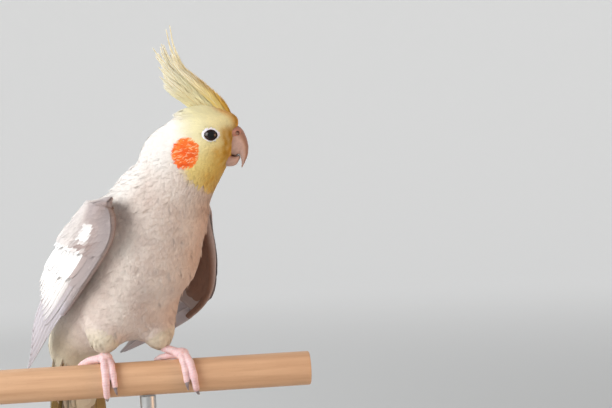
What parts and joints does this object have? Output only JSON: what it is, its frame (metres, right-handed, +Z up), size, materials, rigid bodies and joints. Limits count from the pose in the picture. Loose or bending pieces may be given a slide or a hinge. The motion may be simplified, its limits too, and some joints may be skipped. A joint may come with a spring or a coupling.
{
  "type": "cockatiel",
  "caption": "Life-size still model of a pale crested cockatiel gripping a short dowel perch, held over a round base by one upright rod.",
  "frame": {"origin": "centre of the stand base's underside, on the floor", "axes": "+X along the perch, towards the side that the bird's bill points to; -Y the side that the breast faces; +Z up"},
  "size_m": [0.164, 0.136, 0.3286],
  "materials": {
    "cream_plumage": "soft short contour feathers, matt",
    "yellow_plumage": "fine soft face feathers, matt",
    "grey_plumage": "firm flight feathers, slight sheen",
    "horn": "bill horn, satin",
    "pink_skin": "bare scaled skin, matt",
    "eye": "dark moist eye, glossy",
    "claw_horn": "claw horn, satin",
    "beech": "bare sanded wood",
    "satin_steel": "satin"
  },
  "bodies": {
    "root": {"bill_lower": "horn", "bill_upper": "horn", "cere": "pink_skin", "claw_left_inner_back": "claw_horn", "claw_left_inner_front": "claw_horn", "claw_left_outer_back": "claw_horn", "claw_left_outer_front": "claw_horn", "claw_right_inner_back": "claw_horn", "claw_right_inner_front": "claw_horn", "claw_right_outer_back": "claw_horn", "claw_right_outer_front": "claw_horn", "crest": "yellow_plumage", "eye_left": "eye", "eye_right": "eye", "foot_left": "pink_skin", "foot_right": "pink_skin", "head": "yellow_plumage", "neck": "cream_plumage", "perch": "beech", "stand_base": "beech", "stand_rod": "satin_steel", "tail": "grey_plumage", "thigh_left": "cream_plumage", "thigh_right": "cream_plumage", "torso": "cream_plumage", "wing_left": "grey_plumage", "wing_right": "grey_plumage"}
  },
  "joints": []
}
